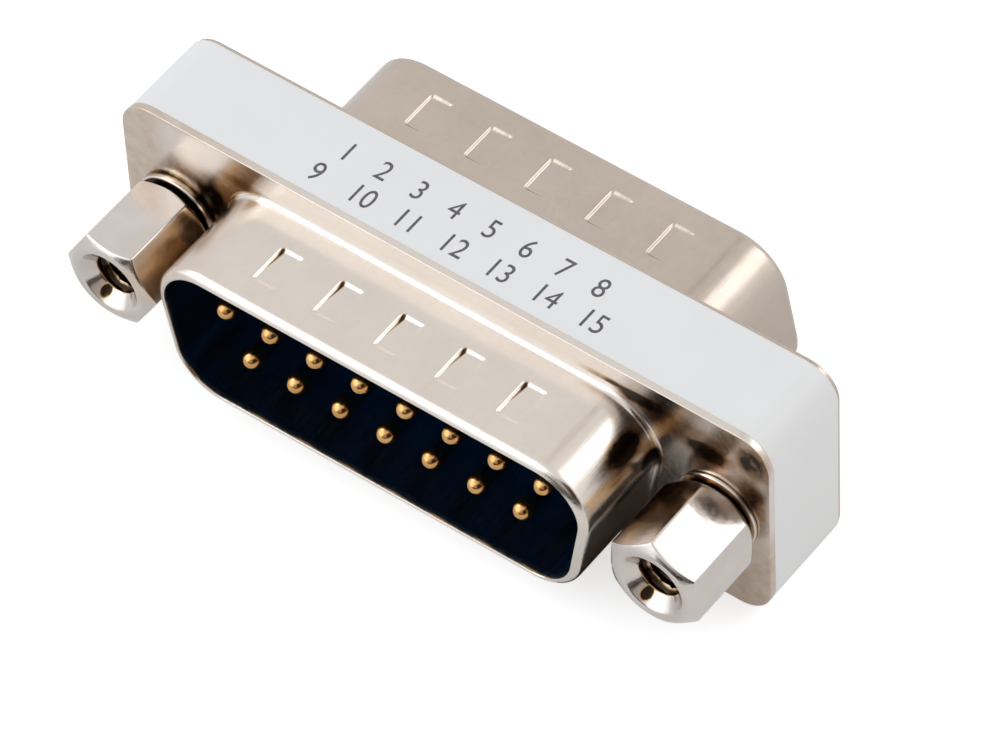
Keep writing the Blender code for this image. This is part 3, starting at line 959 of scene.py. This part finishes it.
def tarnished(material, shader, clean, brown, dark, cells):
    """Paints shade and reflections: turns a clean tone to brown, then nearly black, where the mesh's
    attribute of painted shade says so.
    """
    attribute = add_node(material, "ShaderNodeAttribute", attribute_name="painted_shade")
    shade_noise = remap(material, noise(material, (cells, cells, cells), 4.0, 0.6), 0.55, 1.25)
    amount = add_node(material, "ShaderNodeMath", operation="MULTIPLY")
    link(material, attribute.outputs["Fac"], amount.inputs[0])
    link(material, shade_noise, amount.inputs[1])
    tone = clean
    for colour, share in (
        (brown, clamped(material, "MULTIPLY", amount.outputs[0], 2.0)),
        (dark, clamped(material, "MULTIPLY_ADD", amount.outputs[0], 2.0, -1.0)),
    ):
        node = add_node(material, "ShaderNodeMix", data_type="RGBA")
        node.inputs["B"].default_value = (*colour, 1.0)
        link(material, share, node.inputs["Factor"])
        link(material, tone, node.inputs["A"])
        tone = node.outputs["Result"]
    link(material, tone, shader.inputs["Base Color"])


def nickel_sheet(name, low, high):
    """Satin nickel plate on drawn sheet: warm grey, with painted shade on the inside wall and painted
    shade and reflections where the mesh asks for them, and faint lines along the draw.
    """
    material, shader = new_material(name, high, 1.0, 0.2)
    patches = noise(material, (0.3, 0.3, 0.3), 8.0, 0.68)
    tone = blend_colours(material, patches, low, high)
    # Painted shade: the inside wall turns a dark blue-grey
    inside = add_node(material, "ShaderNodeAttribute", attribute_name="inside")
    shaded = add_node(material, "ShaderNodeMix", data_type="RGBA")
    shaded.inputs["B"].default_value = (0.22, 0.26, 0.31, 1.0)
    link(material, tone, shaded.inputs["A"])
    link(material, inside.outputs["Fac"], shaded.inputs["Factor"])
    tarnished(material, shader, shaded.outputs["Result"], (0.42, 0.29, 0.19), (0.035, 0.022, 0.014), 1.3)
    streaks = noise(material, (6.0, 0.5, 6.0), 3.0, 0.6)
    link(material, remap(material, streaks, 0.17, 0.27), shader.inputs["Roughness"])
    add_bump(material, shader, noise(material, (9.0, 0.7, 9.0), 3.0, 0.6), 0.005)
    return material


def bright_nickel():
    """Brighter plate on turned brass, with fine tool marks, and painted shade and reflections where the
    mesh asks for them.
    """
    material, shader = new_material("bright_plate", (0.60, 0.55, 0.515), 1.0, 0.12)
    patches = noise(material, (0.5, 0.5, 0.5), 3.0)
    tone = blend_colours(material, patches, (0.57, 0.515, 0.475), (0.63, 0.585, 0.55))
    tarnished(material, shader, tone, (0.66, 0.46, 0.27), (0.035, 0.022, 0.014), 0.9)
    marks = noise(material, (3.0, 3.0, 3.0), 4.0)
    link(material, remap(material, marks, 0.14, 0.22), shader.inputs["Roughness"])
    add_bump(material, shader, noise(material, (1.2, 1.2, 1.2), 3.0), 0.012)
    return material


def gold_plate():
    """Gold flash on the noses of the pins, and painted shade on the shanks behind: a dull dark grey."""
    material, shader = new_material("gold_flash", (0.80, 0.52, 0.24), 1.0, 0.19)
    tone = noise(material, (1.5, 1.5, 1.5), 3.0)
    gold = blend_colours(material, tone, (0.56, 0.30, 0.10), (0.70, 0.41, 0.17))
    where = add_node(material, "ShaderNodeTexCoord")
    parts = add_node(material, "ShaderNodeSeparateXYZ")
    link(material, where.outputs["Object"], parts.inputs["Vector"])
    reach = add_node(material, "ShaderNodeMath", operation="ABSOLUTE")
    link(material, parts.outputs["Y"], reach.inputs[0])
    nose = remap(material, reach.outputs[0], 0.0, 1.0, GOLD_FROM * MM, (GOLD_FROM + 0.35) * MM)
    # Painted shade: the shanks behind the gold are dark grey
    shank_shade_mix = add_node(material, "ShaderNodeMix", data_type="RGBA")
    shank_shade_mix.inputs["A"].default_value = (0.22, 0.23, 0.25, 1.0)
    link(material, gold, shank_shade_mix.inputs["B"])
    link(material, nose, shank_shade_mix.inputs["Factor"])
    link(material, shank_shade_mix.outputs["Result"], shader.inputs["Base Color"])
    add_bump(material, shader, noise(material, (6.0, 1.5, 6.0), 2.0), 0.002)
    return material


def navy_plastic():
    material, shader = new_material("navy_moulding", (0.001, 0.018, 0.075), 0.0, 0.5)
    shader.inputs["Specular IOR Level"].default_value = 0.02
    shader.inputs["IOR"].default_value = 1.08
    cloud = noise(material, (0.35, 0.35, 0.35), 3.0)
    tone = blend_colours(material, cloud, (0.0004, 0.022, 0.060), (0.0008, 0.037, 0.100))
    link(material, tone, shader.inputs["Base Color"])
    grain = noise(material, (14.0, 14.0, 14.0), 2.0)
    link(material, remap(material, grain, 0.32, 0.48), shader.inputs["Roughness"])
    add_bump(material, shader, grain, 0.002)
    return material


def black_plastic():
    material, shader = new_material("black_moulding", (0.02, 0.02, 0.022), 0.0, 0.5)
    grain = noise(material, (10.0, 10.0, 10.0), 3.0)
    link(material, remap(material, grain, 0.42, 0.6), shader.inputs["Roughness"])
    add_bump(material, shader, grain, 0.004)
    return material


def label_paper():
    """Satin coated white label film."""
    material, shader = new_material("label_film", (0.83, 0.838, 0.848), 0.0, 0.38)
    cloud = noise(material, (0.2, 0.2, 0.2), 2.0)
    tone = blend_colours(material, cloud, (0.825, 0.825, 0.828), (0.845, 0.845, 0.848))
    link(material, tone, shader.inputs["Base Color"])
    fibre = noise(material, (5.0, 5.0, 5.0), 3.0)
    link(material, remap(material, fibre, 0.34, 0.46), shader.inputs["Roughness"])
    add_bump(material, shader, fibre, 0.003)
    return material


def label_ink():
    """Dark purple-grey ink, a little thin in places."""
    material, shader = new_material("label_ink", (0.09, 0.075, 0.10), 0.0, 0.5)
    wear = noise(material, (6.0, 6.0, 6.0), 3.0)
    tone = blend_colours(material, wear, (0.07, 0.055, 0.08), (0.14, 0.12, 0.15))
    link(material, tone, shader.inputs["Base Color"])
    link(material, remap(material, wear, 0.42, 0.58), shader.inputs["Roughness"])
    add_bump(material, shader, wear, 0.002)
    return material


def floor_paint():
    """White floor that shows at full white to the camera and in reflections, and keeps a soft shadow."""
    material, shader = new_material("white_floor", (0.80, 0.80, 0.80), 0.0, 0.9)
    shader.inputs["Specular IOR Level"].default_value = 0.0
    path = add_node(material, "ShaderNodeLightPath")
    mirrored = add_node(material, "ShaderNodeMath", operation="MAXIMUM")
    link(material, path.outputs["Is Glossy Ray"], mirrored.inputs[0])
    link(material, path.outputs["Is Transmission Ray"], mirrored.inputs[1])
    seen = add_node(material, "ShaderNodeMath", operation="MULTIPLY")
    seen.inputs[1].default_value = 0.56
    link(material, path.outputs["Is Camera Ray"], seen.inputs[0])
    lift = add_node(material, "ShaderNodeMath", operation="MULTIPLY_ADD")
    lift.inputs[1].default_value = 0.22
    link(material, mirrored.outputs[0], lift.inputs[0])
    link(material, seen.outputs[0], lift.inputs[2])
    shader.inputs["Emission Color"].default_value = (1.0, 1.0, 1.0, 1.0)
    link(material, lift.outputs[0], shader.inputs["Emission Strength"])
    return material


# Set, lights and camera

def add_floor():
    bm = bmesh.new()
    bmesh.ops.create_grid(bm, x_segments=1, y_segments=1, size=1.6)
    mesh = bpy.data.meshes.new("floor")
    bm.to_mesh(mesh)
    bm.free()
    mesh.materials.append(floor_paint())
    floor = bpy.data.objects.new("floor", mesh)
    bpy.context.scene.collection.objects.link(floor)


def facing(item, direction, distance):
    """Puts something at a direction from the part, looking back at it."""
    towards = Vector(direction).normalized()
    turn = towards.to_track_quat("Z", "Y").to_matrix().to_4x4()
    item.matrix_world = Matrix.Translation(MIDDLE + towards * distance) @ turn


def add_softbox(name, direction, distance, width, height, radiance, tint=(1.0, 1.0, 1.0)):
    """An area lamp of a given brightness, seen as a pale panel in the metal."""
    lamp = bpy.data.lights.new(name, "AREA")
    lamp.shape = "RECTANGLE"
    lamp.size = width
    lamp.size_y = height
    lamp.energy = radiance * math.pi * width * height
    lamp.color = tint
    item = bpy.data.objects.new(name, lamp)
    bpy.context.scene.collection.objects.link(item)
    facing(item, direction, distance)


def add_flag(name, direction, distance, width, height, colour):
    """A panel that only reflections see, like a white card or the dark side of a studio."""
    bm = bmesh.new()
    bmesh.ops.create_grid(bm, x_segments=1, y_segments=1, size=0.5)
    bmesh.ops.scale(bm, vec=(width, height, 1.0), verts=bm.verts)
    mesh = bpy.data.meshes.new(name)
    bm.to_mesh(mesh)
    bm.free()
    material, shader = new_material(name + "_cloth", (0.0, 0.0, 0.0), 0.0, 1.0)
    shader.inputs["Specular IOR Level"].default_value = 0.0
    shader.inputs["Emission Color"].default_value = (*colour, 1.0)
    shader.inputs["Emission Strength"].default_value = 1.0
    mesh.materials.append(material)
    item = bpy.data.objects.new(name, mesh)
    bpy.context.scene.collection.objects.link(item)
    facing(item, direction, distance)
    item.visible_camera = False
    item.visible_diffuse = False
    item.visible_shadow = False
    item.visible_transmission = False
    return item


def make_world():
    """White to the camera and in reflections, and a plain soft level on everything else."""
    world = bpy.data.worlds.new("studio")
    bpy.context.scene.world = world
    world.use_nodes = True
    tree = world.node_tree
    tree.nodes.clear()
    path = tree.nodes.new("ShaderNodeLightPath")
    soft = tree.nodes.new("ShaderNodeBackground")
    soft.inputs["Color"].default_value = (1.0, 0.99, 0.975, 1.0)
    soft.inputs["Strength"].default_value = 0.69
    white = tree.nodes.new("ShaderNodeBackground")
    white.inputs["Color"].default_value = (1.0, 1.0, 1.0, 1.0)
    white.inputs["Strength"].default_value = 1.0
    first = tree.nodes.new("ShaderNodeMath")
    first.operation = "MAXIMUM"
    second = tree.nodes.new("ShaderNodeMath")
    second.operation = "MAXIMUM"
    mix = tree.nodes.new("ShaderNodeMixShader")
    output = tree.nodes.new("ShaderNodeOutputWorld")
    tree.links.new(path.outputs["Is Camera Ray"], first.inputs[0])
    tree.links.new(path.outputs["Is Glossy Ray"], first.inputs[1])
    tree.links.new(first.outputs[0], second.inputs[0])
    tree.links.new(path.outputs["Is Transmission Ray"], second.inputs[1])
    tree.links.new(second.outputs[0], mix.inputs[0])
    tree.links.new(soft.outputs[0], mix.inputs[1])
    tree.links.new(white.outputs[0], mix.inputs[2])
    tree.links.new(mix.outputs[0], output.inputs["Surface"])


# Dark cards just above the floor, seen only in reflections, which paint the floor's shade: name, left
# and right edge, near and far edge
CARD_HEIGHT = 0.3
FLOOR_SHADE_CARDS = (
    ("card_end", 10.4, 15.3, -2.4, -8.6),
    ("card_front", 0.0, 200.0, -40.0, -400.0),
)


def make_lights():
    """Each softbox is a wide dim panel with a smaller one over its middle, for a soft edge."""
    cool = (0.88, 1.0, 1.12)
    add_softbox("key_wide", (-0.58, -0.60, 0.55), 0.8, 1.20, 1.10, 0.30, cool)
    add_softbox("key_middle", (-0.55, -0.66, 0.51), 0.8, 0.85, 0.80, 0.43, cool)
    add_softbox("key_core", (-0.48, -0.73, 0.49), 0.8, 0.55, 0.52, 0.45, cool)
    add_softbox("rim_wide", (0.62, 0.495, 0.56), 0.8, 0.70, 0.66, 0.18)
    add_softbox("rim_middle", (0.54, 0.495, 0.68), 0.8, 0.46, 0.42, 0.35)
    add_softbox("rim_core", (0.51, 0.495, 0.70), 0.8, 0.36, 0.34, 0.90)
    add_flag("hot_card", (-0.66, -0.20, 0.72), 0.8, 0.38, 0.38, (3.6, 3.55, 3.5))
    add_flag("dark_room", (0.797, -0.46, 0.39), 0.9, 0.84, 0.84, (0.05, 0.032, 0.022))
    add_flag("dim_front", (0.30, -0.90, 0.36), 1.0, 0.55, 0.50, (0.55, 0.51, 0.48))
    add_flag("dark_end", (0.267, -0.964, 0.07), 1.1, 1.24, 0.30, (0.05, 0.035, 0.025))
    add_flag("tent_seam", (-0.18, 0.495, 0.85), 0.8, 0.085, 0.30, (0.72, 0.66, 0.62))
    # Painted shade on the floor, seen only in reflections
    for name, left, right, near, far in FLOOR_SHADE_CARDS:
        width = MM * (right - left)
        depth = MM * (near - far)
        card = add_flag(name, (0.0, 0.0, 1.0), 0.0, width, depth, (0.016, 0.010, 0.006))
        middle = (MM * (left + right) / 2, MM * (near + far) / 2, CARD_HEIGHT * MM)
        card.matrix_world = Matrix.Translation(middle)


def make_camera():
    camera = bpy.data.cameras.new("camera")
    camera.sensor_width = SENSOR_WIDTH
    camera.lens = FOCAL_PIXELS * SENSOR_WIDTH / IMAGE_WIDTH
    camera.clip_start = 0.01
    camera.clip_end = 10.0
    item = bpy.data.objects.new("camera", camera)
    bpy.context.scene.collection.objects.link(item)
    axes = Matrix((CAMERA_RIGHT, CAMERA_UP, CAMERA_BACK)).transposed().to_4x4()
    item.matrix_world = Matrix.Translation(MIDDLE + Vector(EYE) * MM) @ axes
    bpy.context.scene.camera = item


def build_part():
    sheet = nickel_sheet("nickel_sheet", (0.645, 0.585, 0.53), (0.69, 0.63, 0.575))
    # A darker copy of the sheet for the rear shell: painted shade
    shaded_rear_sheet = nickel_sheet("shaded_rear_sheet", (0.475, 0.405, 0.35), (0.535, 0.465, 0.405))
    plate = bright_nickel()
    gold = gold_plate()
    navy = navy_plastic()
    stand_for(make_shell("front_shroud", sheet), "nickel_plate", "front_shell")
    rear = make_shell("rear_shroud", shaded_rear_sheet, flange_inset=0.10, rear=True)
    stand_for(rear, "nickel_plate", "rear_shell")
    stand_for(make_insulator("front_board", navy), "navy_insulator", "front_insulator")
    stand_for(make_insulator("rear_board", navy, rear=True), "navy_insulator", "rear_insulator")
    for number, (x, side) in enumerate(contact_places(), start=1):
        make_contact(number, x, side, gold)
    make_label(label_paper())
    make_print(label_ink())
    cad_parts["spacer_frame"].data.materials[0] = black_plastic()
    make_standoff("left_jack", LEFT_FASTENER, LEFT_HEX_TURN, "left_standoff", plate, LEFT_PAINTED_SHADE)
    make_standoff("right_jack", RIGHT_FASTENER, RIGHT_HEX_TURN, "right_standoff", plate, RIGHT_PAINTED_SHADE)
    for side, x in (("left", LEFT_FASTENER), ("right", RIGHT_FASTENER)):
        make_washer(f"{side}_ring", x, f"{side}_washer", plate)
        make_bush(f"{side}_clamp", x, f"{side}_bush", plate)


build_part()
add_floor()
make_world()
make_lights()
make_camera()
scene = bpy.context.scene
scene.view_settings.view_transform = "Standard"
